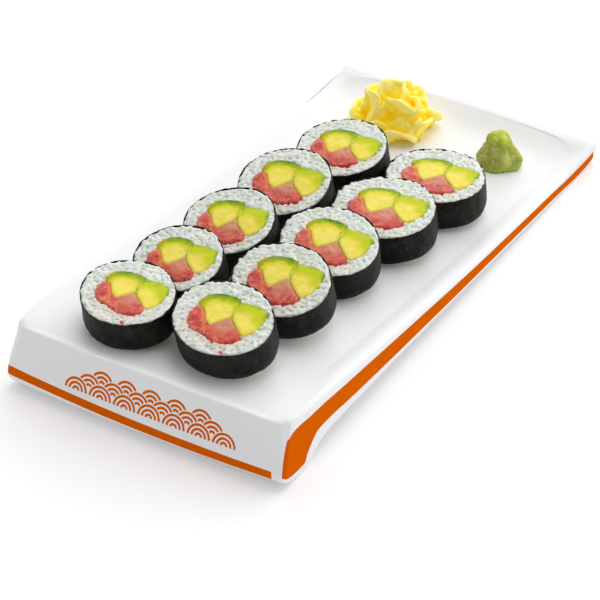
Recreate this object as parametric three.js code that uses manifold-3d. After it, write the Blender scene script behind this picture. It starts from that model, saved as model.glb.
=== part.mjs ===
// A porcelain sushi plate with two rows of thick maki rolls, a heap of pickled ginger and a mound of wasabi.
// Millimetres, +Z up, +Y towards the far end of the plate, +X across it. The origin is on the table, in the
// middle of the plate's footprint. The plate stands on a foot under its high front end and on the flat
// underside of its low back end.
import * as THREE from "three";
import { mergeVertices } from "three/addons/utils/BufferGeometryUtils.js";
import Module from "manifold-3d";

const wasm = await Module();
wasm.setup();

// ---------------------------------------------------------------- driving dimensions
const GAP = 0.35; // kept between touching pieces

const plate = {
  width: 152,
  length: 319, // the foot's foremost point to the back of the lip
  frontOverhang: 9.5, // the front face leans out this far in front of the crest
  crestHeight: 36.5, // where the rim's line would end at the front, without the drop below
  frontDrop: 3.2, // the rim and the inside level off towards the front, this far below that line
  cornerRadius: 10, // of the front corners, seen from above, at the top
  backHeight: 9.3, // top of the rim just before the lip
  backStart: 265, // distance from the crest to where the lip begins
  sag: 2.3, // the rim's line hangs this far below a straight one
  lipHeight: 10.6,
  lipCrest: 305,
  rimWidth: 4.6, // flat top of the side rims, rounding included
  rimSlope: 8, // width of the slope from the rim down to the inside
  dishDepth: 1.3,
  lipDishDepth: 2.5, // the inside is deepest at the foot of the lip
  edgeRadius: 2.6,
};

const roll = {
  height: 16,
  sides: 28, // straight sides in a slice's outline
  noriThickness: 0.9,
  ovalAngle: -18, // degrees: every slice comes from one slightly oval roll
  cornerBump: 0.012, // a little squareness, as a share of the radius
};

// Each slice: place of its base across and along the plate, diameter, ovalness, and its lean in degrees
// towards the front and towards the right. A slice leans because its back edge rests on the next one.
const slices = [
  { name: "left_1", x: -27.2, y: -124.3, diameter: 45.5, oval: 0.05, lean: 7, side: -1 },
  { name: "left_2", x: -22.5, y: -86, diameter: 44.5, oval: 0.03, lean: 13.5, side: -4.5 },
  { name: "left_3", x: -21.5, y: -42, diameter: 46.5, oval: 0.01, lean: 14, side: -6 },
  { name: "left_4", x: -21, y: 7.5, diameter: 48, oval: 0.01, lean: 13, side: -4 },
  { name: "left_5", x: -17, y: 55.5, diameter: 47.5, oval: 0.01, lean: 7.5, side: -4.5 },
  { name: "right_1", x: 22.3, y: -118.8, diameter: 48, oval: 0.09, lean: 12, side: -2.5 },
  { name: "right_2", x: 26.5, y: -74, diameter: 48, oval: 0.08, lean: 14.5, side: -3 },
  { name: "right_3", x: 24, y: -29, diameter: 49, oval: 0.05, lean: 8.5, side: 1.5 },
  { name: "right_4", x: 29, y: 15.5, diameter: 53, oval: 0.045, lean: 3, side: -4 },
  { name: "right_5", x: 33.5, y: 59.5, diameter: 51, oval: 0.045, lean: 0, side: -3.5 },
];

// Corners of the fillings in a slice, as shares of its radius, the same in every slice. A filling gives way
// where it would reach into one before it, so that they lie close together.
const fillings = {
  tuna: [
    [-0.66, -0.12], [-0.58, 0.1], [-0.38, -0.02], [-0.17, -0.32], [0, -0.15], [0.16, 0.04], [0.27, -0.1],
    [0.5, -0.25], [0.62, -0.37], [0.44, -0.56], [0.18, -0.62], [-0.06, -0.57], [-0.19, -0.48], [-0.36, -0.5],
    [-0.56, -0.36],
  ],
  avocado_slice: [
    [-0.63, 0.18], [-0.58, 0.36], [-0.38, 0.49], [-0.1, 0.54], [0.12, 0.5], [0.14, 0.25], [0.17, 0.02],
    [0, -0.2], [-0.2, -0.42], [-0.42, -0.06],
  ],
  avocado_wedge: [
    [0.06, 0.44], [0.3, 0.47], [0.52, 0.48], [0.74, 0.42], [0.79, 0.2], [0.77, -0.04], [0.66, -0.26],
    [0.48, -0.27], [0.24, -0.08], [0.08, 0.14],
  ],
};

const grain = { length: 6, width: 2.8, perSlice: 11, rise: 0.15 };

// The heap is a core with crumpled slices on it, in rows around it. Each row starts at an angle around the
// core and stands at an angle up it, and its slices open away from the core by their flare. A slice's place
// and turn stray from that. Angles are in degrees.
const ginger = {
  x: -23.5,
  y: 118,
  turn: 25,
  radiusX: 17,
  radiusY: 14,
  coreHeight: 19,
  leafThickness: 1.6,
  leafRings: 2,
  leafSteps: 8,
  rows: [
    { count: 8, start: 10, up: 10, flare: 52, length: 18, width: 14 },
    { count: 6, start: 35, up: 38, flare: 48, length: 17, width: 14 },
    { count: 4, start: 80, up: 68, flare: 50, length: 16, width: 13 },
  ],
  stray: 26,
};
const wasabi = { x: 39.5, y: 117, radius: 11.2, height: 18.7, tilt: 0.06 };

// ---------------------------------------------------------------- helpers
const deg = THREE.MathUtils.degToRad;
const smooth = (x, low, high) => THREE.MathUtils.smoothstep(x, low, high);
const vec = (x, y, z) => new THREE.Vector3(x, y, z);

function makeRandom(seed) {
  let state = seed >>> 0;
  return () => {
    state = (Math.imul(state, 1664525) + 1013904223) >>> 0;
    return state / 2 ** 32;
  };
}

function toSolid(geometry) {
  const bare = geometry.index ? geometry.toNonIndexed() : geometry.clone();
  const points = new THREE.BufferGeometry();
  points.setAttribute("position", bare.getAttribute("position"));
  const merged = mergeVertices(points, 1e-4);
  return new wasm.Manifold(
    new wasm.Mesh({
      numProp: 3,
      vertProperties: new Float32Array(merged.attributes.position.array),
      triVerts: new Uint32Array(merged.index.array),
    }),
  );
}

// The largest body of a solid, so that a cut leaves no loose scrap.
function largestBody(solid) {
  const bodies = solid.decompose();
  return bodies.reduce((best, body) => (body.volume() > best.volume() ? body : best));
}

function toGeometry(solid) {
  const mesh = solid.getMesh();
  const geometry = new THREE.BufferGeometry();
  const positions = new Float32Array(mesh.numVert * 3);
  for (let i = 0; i < mesh.numVert; i++) {
    positions.set(mesh.vertProperties.subarray(i * mesh.numProp, i * mesh.numProp + 3), i * 3);
  }
  geometry.setAttribute("position", new THREE.BufferAttribute(positions, 3));
  geometry.setIndex(new THREE.BufferAttribute(new Uint32Array(mesh.triVerts), 1));
  geometry.computeVertexNormals();
  return geometry;
}

// An upright prism over a closed outline of Vector2, from one height to another, with optional holes.
function prism(outline, bottom, top, holes = []) {
  const shape = new THREE.Shape(outline);
  shape.holes = holes.map((hole) => new THREE.Path(hole));
  const geometry = new THREE.ExtrudeGeometry(shape, { depth: top - bottom, bevelEnabled: false });
  return geometry.translate(0, 0, bottom);
}

// A closed surface through rings of points that follow one another along X, each anticlockwise in Y and Z.
// The first and the last are capped.
function loft(rings) {
  const count = rings[0].length;
  const positions = rings.flat().flatMap((p) => [p.x, p.y, p.z]);
  const index = [];
  for (let r = 0; r + 1 < rings.length; r++) {
    for (let i = 0; i < count; i++) {
      const j = (i + 1) % count;
      const [a, b, c, d] = [r * count + i, r * count + j, (r + 1) * count + j, (r + 1) * count + i];
      index.push(a, b, c, a, c, d);
    }
  }
  const capped = THREE.ShapeUtils.triangulateShape(rings[0].map((p) => new THREE.Vector2(p.y, p.z)), []);
  const last = (rings.length - 1) * count;
  for (const [a, b, c] of capped) {
    index.push(a, c, b);
    index.push(last + a, last + b, last + c);
  }
  const geometry = new THREE.BufferGeometry();
  geometry.setAttribute("position", new THREE.Float32BufferAttribute(positions, 3));
  geometry.setIndex(index);
  return geometry;
}

function material(color, roughness) {
  return new THREE.MeshStandardMaterial({ color, roughness, metalness: 0 });
}

function addMesh(group, name, solid, finish) {
  const mesh = new THREE.Mesh(toGeometry(largestBody(solid)), finish);
  mesh.name = name;
  group.add(mesh);
}

// ---------------------------------------------------------------- the plate
const crestY = plate.frontOverhang - plate.length / 2; // the crest's place along the plate

// Height of the rim's top at a distance behind the crest.
function rimHeight(along) {
  const share = (along - 5) / (plate.backStart - 5);
  const chord = THREE.MathUtils.lerp(plate.crestHeight, plate.backHeight, share);
  const drop = plate.frontDrop * (1 - smooth(along, -6, 26));
  return chord - 4 * plate.sag * share * (1 - share) - drop;
}

// How far the inside lies below the rim at a distance behind the crest.
function dishDepth(along) {
  const { dishDepth: depth, lipDishDepth: deepest, backStart, lipCrest } = plate;
  const lipFoot = lipCrest - 15;
  const started = depth * smooth(along, 4, 22);
  const deepened = (deepest - depth) * smooth(along, backStart - 12, lipFoot);
  return (started + deepened) * (1 - smooth(along, lipFoot, lipCrest));
}

const insideHeight = (y) => rimHeight(y - crestY) - dishDepth(y - crestY);

// The plate's outline seen from the side, as an anticlockwise ring in Y and Z.
function sideProfile() {
  const back = plate.length - plate.frontOverhang;
  const points = [];
  const straightTo = (y, z, steps) => {
    const from = points.at(-1);
    for (let i = 1; i <= steps; i++) {
      points.push(from.clone().lerp(new THREE.Vector2(y, z), i / steps));
    }
  };
  const bendTo = (cornerY, cornerZ, y, z, steps) => {
    const bend = new THREE.QuadraticBezierCurve(
      points.at(-1), new THREE.Vector2(cornerY, cornerZ), new THREE.Vector2(y, z));
    points.push(...bend.getPoints(steps).slice(1));
  };
  points.push(new THREE.Vector2(5, rimHeight(5)));
  for (let i = 1; i <= 14; i++) {
    const along = 5 + ((plate.backStart - 5) * i) / 14;
    points.push(new THREE.Vector2(along, rimHeight(along)));
  }
  bendTo(288, 7.8, plate.lipCrest, plate.lipHeight, 5);
  bendTo(back - 0.5, plate.lipHeight + 0.6, back, 6.4, 4);
  bendTo(back - 0.5, 1.5, back - 9, 0.5, 3);
  straightTo(back - 14, 0, 1);
  straightTo(254, 0, 2);
  straightTo(150, 6.3, 2);
  straightTo(36, 8.4, 2);
  bendTo(24, 8.6, 19, 4.5, 3);
  bendTo(14.5, 0, 9, 0, 3);
  straightTo(3, 0, 1);
  bendTo(-8, 0.4, -plate.frontOverhang, 8.5, 4);
  straightTo(-3.4, 31.2, 4);
  bendTo(-2.8, 34.2, 0.4, rimHeight(0.4), 3);
  straightTo(5, rimHeight(5), 1);
  points.pop();
  return points.reverse();
}

// Rounds the front corners as seen from above, from nothing at the foot to the whole radius at the top.
function roundCorner(x, along, z) {
  const radius = plate.cornerRadius * smooth(z, 6, 32);
  const front = THREE.MathUtils.mapLinear(Math.min(z, 32), 8.5, 32, -plate.frontOverhang, -3.2);
  const across = Math.abs(x) - (plate.width / 2 - radius);
  const ahead = front + radius - along;
  if (across <= 0 || ahead <= 0) {
    return vec(x, along, z);
  }
  const pull = 1 - Math.max(across, ahead) / Math.hypot(across, ahead);
  return vec(x - Math.sign(x) * across * pull, along + ahead * pull, z);
}

function plateSolid() {
  const profile = sideProfile();
  const count = profile.length;
  const outward = profile.map((_, i) => {
    const before = profile[(i + count - 1) % count];
    const after = profile[(i + 1) % count];
    return new THREE.Vector2(after.y - before.y, before.x - after.x).normalize();
  });
  const top = (i) => outward[i].y > 0.3 && profile[i].x > 4;
  const ring = (x, inset) =>
    profile.map((p, i) => {
      const across = plate.width / 2 - plate.rimWidth - Math.abs(x);
      const lowered = top(i) ? dishDepth(p.x) * smooth(across, 0, plate.rimSlope) : 0;
      const point = roundCorner(x, p.x - outward[i].x * inset, p.y - outward[i].y * inset - lowered);
      return point.setY(point.y + crestY);
    });
  const half = plate.width / 2;
  const radius = plate.edgeRadius;
  const rightSide = [];
  for (const share of [0, 1 / 6, 1 / 3, 2 / 3, 1]) {
    const angle = (share * Math.PI) / 2;
    rightSide.push([half - radius + radius * Math.cos(angle), radius * (1 - Math.sin(angle))]);
  }
  const rimInside = half - plate.rimWidth;
  for (const share of [0, 0.25, 0.5, 0.75, 1]) {
    rightSide.push([rimInside - share * plate.rimSlope, 0]);
  }
  rightSide.push([rimInside * 0.5, 0]);
  const stations = [
    ...rightSide.map(([x, inset]) => [-x, inset]),
    ...rightSide.reverse(),
  ];
  return toSolid(loft(stations.map(([x, inset]) => ring(x, inset))));
}

// ---------------------------------------------------------------- the rolls
// Radius of a slice's outline at an angle, before its seaweed's thickness is taken off.
function outlineRadius(slice, angle) {
  const turned = angle - deg(roll.ovalAngle);
  const oval = 1 + slice.oval * Math.cos(2 * turned);
  return (slice.diameter / 2) * (oval + roll.cornerBump * Math.cos(4 * turned));
}

function outline(slice, offset) {
  const points = [];
  for (let i = 0; i < roll.sides; i++) {
    const angle = (2 * Math.PI * i) / roll.sides;
    const radius = outlineRadius(slice, angle) + offset;
    points.push(new THREE.Vector2(radius * Math.cos(angle), radius * Math.sin(angle)));
  }
  return points;
}

// A smooth closed outline through a filling's corners, moved outwards by an offset.
function fillingOutline(corners, radius, offset, random) {
  const knots = corners.map(([x, y]) => {
    const stray = 0.03;
    return vec(x + stray * (random() - 0.5), y + stray * (random() - 0.5), 0).multiplyScalar(radius);
  });
  const curve = new THREE.CatmullRomCurve3(knots, true, "centripetal");
  const points = curve.getPoints(corners.length + 3).slice(0, -1);
  return points.map((p, i) => {
    const before = points.at(i - 1);
    const after = points[(i + 1) % points.length];
    const outward = new THREE.Vector2(after.y - before.y, before.x - after.x).normalize();
    const turn = THREE.ShapeUtils.isClockWise(points) ? -1 : 1;
    return new THREE.Vector2(p.x, p.y).addScaledVector(outward, offset * turn);
  });
}

// Grains of rice that stand a little proud of the cut face, as faceted spindles.
function riceGrains(slice, random) {
  const grains = [];
  for (let i = 0; i < grain.perSlice; i++) {
    const bead = new THREE.OctahedronGeometry(0.5, 0);
    bead.scale(grain.length, grain.width, grain.width);
    bead.rotateZ(random() * Math.PI);
    const angle = ((i + random() * 0.6) / grain.perSlice) * 2 * Math.PI;
    const reach = outlineRadius(slice, angle) * (0.8 + 0.09 * (i % 2));
    const height = roll.height + grain.rise - grain.width / 4;
    bead.translate(reach * Math.cos(angle), reach * Math.sin(angle), height);
    grains.push(toSolid(bead));
  }
  return grains;
}

// Height of a slice's base centre, so that its lowest edge just clears the plate.
function seatHeight(slice, turn) {
  let seat = -Infinity;
  for (const p of outline(slice, 0)) {
    const rim = vec(p.x, p.y, 0).applyEuler(turn);
    seat = Math.max(seat, insideHeight(slice.y + rim.y) + GAP - rim.z);
  }
  return seat;
}

function sliceMatrix(slice) {
  const turn = new THREE.Euler(deg(slice.lean), deg(slice.side), 0, "YXZ");
  const place = vec(slice.x, slice.y, seatHeight(slice, turn));
  return new THREE.Matrix4().compose(place, new THREE.Quaternion().setFromEuler(turn), vec(1, 1, 1));
}

// The slices of the list before this one are whole, and this one is pressed in where they lean on it.
function pressedBy(slice, earlier) {
  const back = sliceMatrix(slice).invert();
  return earlier
    .filter((other) => Math.hypot(other.x - slice.x, other.y - slice.y) < slice.diameter * 1.15)
    .map((other) => {
      const body = prism(outline(other, GAP), -GAP, roll.height + grain.width);
      return toSolid(body.applyMatrix4(back.clone().multiply(sliceMatrix(other))));
    });
}

const finishes = {
  nori: material(0x1c1f1c, 0.6),
  rice: material(0xdfe3dc, 0.55),
  tuna: material(0xd4554f, 0.4),
  avocado_slice: material(0xc9d64a, 0.5),
  avocado_wedge: material(0xe3df5f, 0.5),
};

function addSlice(root, slice, earlier, seed) {
  const random = makeRandom(seed);
  const group = new THREE.Group();
  group.applyMatrix4(sliceMatrix(slice));
  root.add(group);
  const dents = pressedBy(slice, earlier);
  const dented = (solid) => dents.reduce((left, dent) => left.subtract(dent), solid);
  const height = roll.height;
  const radius = slice.diameter / 2;

  const inner = outline(slice, -roll.noriThickness);
  addMesh(group, slice.name + "_nori", dented(toSolid(prism(outline(slice, 0), 0, height, [inner]))),
    finishes.nori);

  const riceEdge = outline(slice, -roll.noriThickness - GAP);
  let rice = toSolid(prism(riceEdge, 0, height));
  for (const bead of riceGrains(slice, random)) {
    rice = rice.add(bead);
  }
  rice = rice.intersect(toSolid(prism(riceEdge, 0, height + grain.width)));
  const taken = [];
  for (const [part, corners] of Object.entries(fillings)) {
    const partSeed = Math.floor(random() * 1e6);
    const body = fillingOutline(corners, radius, 0, makeRandom(partSeed));
    const space = fillingOutline(corners, radius, GAP, makeRandom(partSeed));
    const filling = taken.reduce((left, other) => left.subtract(other), toSolid(prism(body, 0, height)));
    addMesh(group, slice.name + "_" + part, dented(filling), finishes[part]);
    taken.push(toSolid(prism(space, -1, height + grain.width)));
  }
  rice = taken.reduce((left, other) => left.subtract(other), rice);
  addMesh(group, slice.name + "_rice", dented(rice), finishes.rice);
}

// ---------------------------------------------------------------- ginger and wasabi
// A thin, wavy slice of ginger around the origin, lying in XY, with both faces in the same triangles.
function leaf({ length, width, wrap, ripple, phase }) {
  const { leafRings: rings, leafSteps: around, leafThickness: thickness } = ginger;
  const positions = [];
  for (const side of [0.5, -0.5]) {
    positions.push(0, 0, side * thickness);
    for (let ring = 1; ring <= rings; ring++) {
      for (let step = 0; step < around; step++) {
        const angle = (2 * Math.PI * step) / around;
        const reach = (ring / rings) * (1 + 0.12 * Math.sin(3 * angle + phase));
        const u = reach * Math.cos(angle);
        const v = reach * Math.sin(angle);
        const wave = ripple * reach * reach * Math.sin(2 * angle + phase) - wrap * u * u;
        positions.push((u * length) / 2, (v * width) / 2, wave + side * thickness);
      }
    }
  }
  const perSide = 1 + rings * around;
  const at = (side, ring, step) => side * perSide + 1 + (ring - 1) * around + (step % around);
  const index = [];
  const face = (side, a, b, c) => index.push(...(side === 0 ? [a, b, c] : [a, c, b]));
  for (let step = 0; step < around; step++) {
    for (const side of [0, 1]) {
      face(side, side * perSide, at(side, 1, step), at(side, 1, step + 1));
      for (let ring = 1; ring < rings; ring++) {
        const [a, b] = [at(side, ring, step), at(side, ring, step + 1)];
        const [c, d] = [at(side, ring + 1, step + 1), at(side, ring + 1, step)];
        face(side, a, d, c);
        face(side, a, c, b);
      }
    }
    const [a, b] = [at(0, rings, step), at(0, rings, step + 1)];
    const [c, d] = [at(1, rings, step + 1), at(1, rings, step)];
    index.push(a, d, c, a, c, b);
  }
  const geometry = new THREE.BufferGeometry();
  geometry.setAttribute("position", new THREE.Float32BufferAttribute(positions, 3));
  geometry.setIndex(index);
  return geometry;
}

// Where a leaf sits: one long edge sunk in the core, the leaf opening away from it like a petal.
function leafMatrix({ around, up, spin, flare, width }) {
  const { radiusX, radiusY, coreHeight } = ginger;
  const [a, e] = [deg(around), deg(up)];
  const sunk = vec(radiusX * Math.cos(e) * Math.cos(a), radiusY * Math.cos(e) * Math.sin(a),
    coreHeight * Math.sin(e));
  const normal = vec(sunk.x / radiusX ** 2, sunk.y / radiusY ** 2, sunk.z / coreHeight ** 2).normalize();
  const level = vec(-Math.sin(a), Math.cos(a), 0);
  const along = level.clone().applyAxisAngle(normal, deg(spin));
  const across = normal.clone().cross(along).applyAxisAngle(along, deg(flare));
  const middle = sunk.addScaledVector(across, width * 0.3).addScaledVector(normal, -1);
  return new THREE.Matrix4().makeBasis(along, across, along.clone().cross(across)).setPosition(middle);
}

// Every slice of ginger, with its own size, place, turn and curl.
function gingerLeaves() {
  const random = makeRandom(11);
  const stray = () => ginger.stray * (random() - 0.5);
  return ginger.rows.flatMap(({ count, start, up, flare, length, width }) =>
    Array.from({ length: count }, (_, i) => {
      const size = 0.85 + 0.3 * random();
      return {
        around: start + (360 * i) / count + stray(),
        up: up + stray() / 2,
        spin: 5 * stray(),
        flare: flare + stray(),
        length: length * size,
        width: width * size,
        wrap: 4 * random() - 2.5,
        ripple: 2 + 1.5 * random(),
        phase: 6 * random(),
      };
    }),
  );
}

function addGinger(root, plateBody) {
  const ground = insideHeight(ginger.y) + GAP;
  const core = new THREE.SphereGeometry(1, 12, 7);
  core.rotateX(Math.PI / 2);
  core.scale(ginger.radiusX, ginger.radiusY, ginger.coreHeight);
  let heap = toSolid(core);
  for (const slice of gingerLeaves()) {
    heap = heap.add(toSolid(leaf(slice).applyMatrix4(leafMatrix(slice))));
  }
  heap = heap.rotate([0, 0, ginger.turn]).translate([ginger.x, ginger.y, ground]);
  heap = heap.subtract(plateBody.translate([0, 0, GAP]));
  const under = new THREE.BoxGeometry(120, 120, 60);
  under.translate(ginger.x, ginger.y, ground - 33);
  addMesh(root, "ginger_heap", heap.subtract(toSolid(under)), material(0xf0d850, 0.45));
}

function addWasabi(root, plateBody) {
  const ground = insideHeight(wasabi.y) + GAP;
  const { radius, height } = wasabi;
  const shares = [
    [0, -0.1], [0.9, -0.1], [0.97, 0.08], [1, 0.25], [0.97, 0.38], [0.84, 0.5], [0.64, 0.59], [0.53, 0.69],
    [0.46, 0.82], [0.31, 0.95], [0, 1],
  ];
  const profile = shares.map(([share, up]) => new THREE.Vector2(share * radius, up * height));
  const mound = new THREE.LatheGeometry(profile, 16);
  mound.rotateX(Math.PI / 2);
  const points = mound.attributes.position;
  for (let i = 0; i < points.count; i++) {
    const [x, y, z] = [points.getX(i), points.getY(i), points.getZ(i)];
    const angle = Math.atan2(y, x);
    const pinch = 1 + 0.09 * Math.sin(3 * angle + 0.6 + z / 6) + 0.05 * Math.sin(5 * angle + 2 - z / 4);
    points.setXYZ(i, x * pinch - wasabi.tilt * z, y * pinch, z);
  }
  mound.translate(wasabi.x, wasabi.y, ground);
  const body = toSolid(mound).subtract(plateBody.translate([0, 0, GAP]));
  addMesh(root, "wasabi_mound", body, material(0xa9b558, 0.7));
}

// ---------------------------------------------------------------- the whole
const root = new THREE.Group();
const plateBody = plateSolid();
addMesh(root, "plate", plateBody, material(0xf2f2f0, 0.15));
slices.forEach((slice, i) => addSlice(root, slice, slices.slice(0, i), 100 + i));
addGinger(root, plateBody);
addWasabi(root, plateBody);

export default root;
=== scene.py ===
"""A sloping porcelain plate with two rows of thick maki slices, pickled ginger and a mound of wasabi.

Pieces are shaped in millimetres and turned into the frame's metres at the end. A slice is shaped lying flat
around its own axis and is then set down, leaning, where the frame has it.
"""

import math

import bpy
import numpy as np
from mathutils import Euler, Matrix, Vector, noise
from mathutils.kdtree import KDTree


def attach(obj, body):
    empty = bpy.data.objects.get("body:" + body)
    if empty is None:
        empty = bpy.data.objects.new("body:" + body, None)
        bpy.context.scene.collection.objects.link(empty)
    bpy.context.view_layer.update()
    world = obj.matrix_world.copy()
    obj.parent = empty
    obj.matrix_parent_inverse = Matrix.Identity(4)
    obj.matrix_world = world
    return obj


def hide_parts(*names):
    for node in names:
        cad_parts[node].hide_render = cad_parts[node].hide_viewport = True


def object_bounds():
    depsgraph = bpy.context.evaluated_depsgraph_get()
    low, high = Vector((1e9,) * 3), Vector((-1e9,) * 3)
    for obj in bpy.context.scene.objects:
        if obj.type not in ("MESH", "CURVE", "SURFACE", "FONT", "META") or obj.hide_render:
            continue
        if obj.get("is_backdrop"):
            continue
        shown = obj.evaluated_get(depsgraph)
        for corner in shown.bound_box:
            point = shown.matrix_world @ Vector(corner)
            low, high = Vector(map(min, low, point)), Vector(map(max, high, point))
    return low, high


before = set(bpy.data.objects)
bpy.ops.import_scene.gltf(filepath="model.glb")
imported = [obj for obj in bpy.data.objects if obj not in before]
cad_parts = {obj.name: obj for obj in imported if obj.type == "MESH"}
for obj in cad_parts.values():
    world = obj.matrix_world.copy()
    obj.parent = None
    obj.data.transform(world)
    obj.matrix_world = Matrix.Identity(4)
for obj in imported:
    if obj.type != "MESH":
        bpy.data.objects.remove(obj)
cad_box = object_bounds()

TO_MM = Matrix.Scale(1000, 4)
TO_METRES = Matrix.Scale(0.001, 4)

# ---------------------------------------------------------------- sizes, in millimetres
PLATE_HALF_WIDTH = 76
PLATE_LENGTH = 319
FRONT_OVERHANG = 9.5  # the front face leans out this far in front of the crest
CREST_Y = FRONT_OVERHANG - PLATE_LENGTH / 2  # places along the plate are counted from the crest
CREST_HEIGHT = 36.5  # the rim's height there, without FRONT_DROP
FRONT_DROP = 3.2  # the rim and the inside level off towards the front, this far below the rim's line
CREST_CORNER = (-2.5, 33.6)  # along and up, where the front face meets the top
CREST_REACH = 4.5  # corners of the mesh that are this near are drawn towards it
CREST_PULL = 0.75  # by up to this share of the way
CORNER_RADIUS = 10  # of the front corners, seen from above
BACK_START = 265  # the slope ends here and the lip begins
BACK_HEIGHT = 9.3  # the rim's height there
RIM_SAG = 2.3  # the rim hangs through by this much in between
LIP_FOOT = 290  # the lip's inner slope rises from here
LIP_CREST = 305
LIP_SWELL = 0.9  # the lip stands this much taller halfway across
LIP_END_DIP = 0.7  # and dips this much where its ends meet the sides' rims
DISH_DEPTH = 1.3  # of the inside below the rim
LIP_DISH_DEPTH = 2.5  # and in front of the lip
FRONT_BULGE = 2.2  # the front face swells this far forwards along its bottom, halfway across
SEAT_GAP = 0.35  # between the plate and the food

# The painted bands of the long sides lie between two lines of places along and up.
BAND_TOP_LINE = [
    (-9.5, 9.2), (-6.3, 18.5), (-3.7, 22.9), (-1, 26.2), (5.1, 28.5), (13.8, 28.5), (50, 25.3), (113, 19.3),
    (170, 14.1), (229, 10), (254, 8.4), (272, 7.2), (290, 6.8), (306, 7),
]
BAND_FOOT_LINE = [
    (-9.5, 9.2), (9.7, 5), (11.1, 7.9), (13.8, 10.7), (18.2, 14.4), (22.3, 16.2), (31.7, 16.2), (50, 14.7),
    (127, 10.1), (229, 5.1), (270, 3), (290, 1.3), (306, 1.2),
]
BAND_START = -10  # the lines' curves run from here over this length and height
BAND_LENGTH = 320
BAND_HEIGHT = 40
BAND_END = 303
LEFT_BAND_DROP = 2.4  # the top of the left side's band drops by this much towards its end

# The stripe and the wave fans on the front face.
STRIPE_SPAN = (-75.4, 69.5)
STRIPE_HEIGHT = 8.1
STRIPE_RISE = 1.2  # it is this much higher at the plate's sides
STRIPE_SLANT = -0.018
STRIPE_HALF_WIDTH = 2.35
FAN_RADIUS = 6.7
FAN_ROWS = [(7, 14.3), (6, 17.6), (5, 20.9)]  # how many fans, and the height of their middles
FAN_MIDDLE = 4  # the rows' middle across the plate
FAN_RINGS = 3.25
FAN_GAP = 0.42  # share of each ring that is left white

SLICE_HEIGHT = 16
OVAL_ANGLE = math.radians(-18)  # of a slice's longer diameter
CORNER_BUMP = 0.012  # the slices are squarish by this share of their radius
NORI_THICKNESS = 0.35

# name: place across and along from the plate's middle, diameter, ovalness, and lean to the front and to the
# right in degrees
SLICES = {
    "left_1": (-27.2, -124.3, 45.5, 0.05, 7, -1),
    "left_2": (-22.5, -86, 44.5, 0.03, 13.5, -4.5),
    "left_3": (-21.5, -42, 46.5, 0.01, 14, -6),
    "left_4": (-21, 7.5, 48, 0.01, 13, -4),
    "left_5": (-17, 55.5, 47.5, 0.01, 7.5, -4.5),
    "right_1": (22.3, -118.8, 48, 0.09, 12, -2.5),
    "right_2": (26.5, -74, 48, 0.08, 14.5, -3),
    "right_3": (24, -29, 49, 0.05, 8.5, 1.5),
    "right_4": (29, 15.5, 53, 0.045, 3, -4),
    "right_5": (33.5, 59.5, 51, 0.045, 0, -3.5),
}

# Edges of the fillings that the finishes follow, as shares of a slice's radius.
SLICE_SKIN = [(-0.63, 0.2), (-0.58, 0.36), (-0.38, 0.49), (-0.1, 0.54), (0.12, 0.5)]
WEDGE_SKIN = [(0.16, 0.44), (0.3, 0.47), (0.52, 0.48), (0.74, 0.42), (0.79, 0.26)]
WEDGE_SEAM = [(0.1, 0.5), (0.11, 0.25), (0.16, 0.1), (0.27, -0.06), (0.48, -0.24)]  # between it and the slice
TUNA_FRINGE = [(-0.62, 0.14), (-0.42, -0.03), (-0.2, -0.37), (-0.2, -0.5)]  # orange, along the avocado
TUNA_SCRAPS = {"left_1": (0.4, -0.82), "right_1": (0.42, -0.8)}
TUNA_SCRAP_SIZE = (1.3, 1.1, 0.7)
FILLING_OUTLINES = {
    "tuna": [
        (-0.66, -0.12), (-0.58, 0.1), (-0.38, -0.02), (-0.17, -0.32), (0, -0.15), (0.16, 0.04), (0.27, -0.1),
        (0.5, -0.25), (0.62, -0.37), (0.44, -0.56), (0.18, -0.62), (-0.06, -0.57), (-0.19, -0.48),
        (-0.36, -0.5), (-0.56, -0.36),
    ],
    "avocado_slice": SLICE_SKIN + [(0.14, 0.25), (0.17, 0.02), (0, -0.2), (-0.2, -0.42), (-0.42, -0.06)],
    "avocado_wedge": [
        (0.06, 0.44), (0.3, 0.47), (0.52, 0.48), (0.74, 0.42), (0.79, 0.2), (0.77, -0.04), (0.66, -0.26),
        (0.48, -0.27), (0.24, -0.08), (0.08, 0.14),
    ],
}

GRAIN_LENGTH = 3.6
GRAIN_WIDTH = 2.3
GRAIN_TRIES = 9000  # places that are tried on each cut face
GRAIN_SPACING = 1.55  # the grains' middles are no closer than this to each other,
GRAIN_OFF_NORI = 0.6  # this to the seaweed
GRAIN_OFF_FILLING = 0.55  # and this to a filling
RICE_CORE_TOP = 15.2  # the core under the grains of the cut face
CUT_FACE = 16.3  # the knife left no grain higher than this
GRAIN_SINK = 0.75  # the grains' middles lie this far below the cut

GINGER_PLACE = (-23.5, 118)
GINGER_TURN = math.radians(25)
GINGER_CORE = (17, 14, 19)
GINGER_SEED = 11  # the same as the frame's
GINGER_RISE = 1.08  # the heap's loose slices stand this much taller than the solids
GINGER_STRAY = 26  # degrees over which a slice's turn strays
# Rows of slices around the core, from the lowest: how many, the first one's place around the core, the row's
# place up it and the flare away from it in degrees, and a slice's length and width.
GINGER_ROWS = [
    (8, 10, 10, 52, 18, 14),
    (6, 35, 38, 48, 17, 14),
    (4, 80, 68, 50, 16, 13),
]
GINGER_SCRAPS = 34  # smaller slices that are tucked between those of the rows
GINGER_SCRAP_SIZE = (12, 10)
GINGER_SCRAP_SEED = 5
GINGER_THICKNESS = 2.4

WASABI_PLACE = (39.5, 117)
WASABI_RADIUS = 11.2
WASABI_HEIGHT = 18.7
WASABI_TILT = 0.06  # how far it leans to the left, as a share of its height
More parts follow.
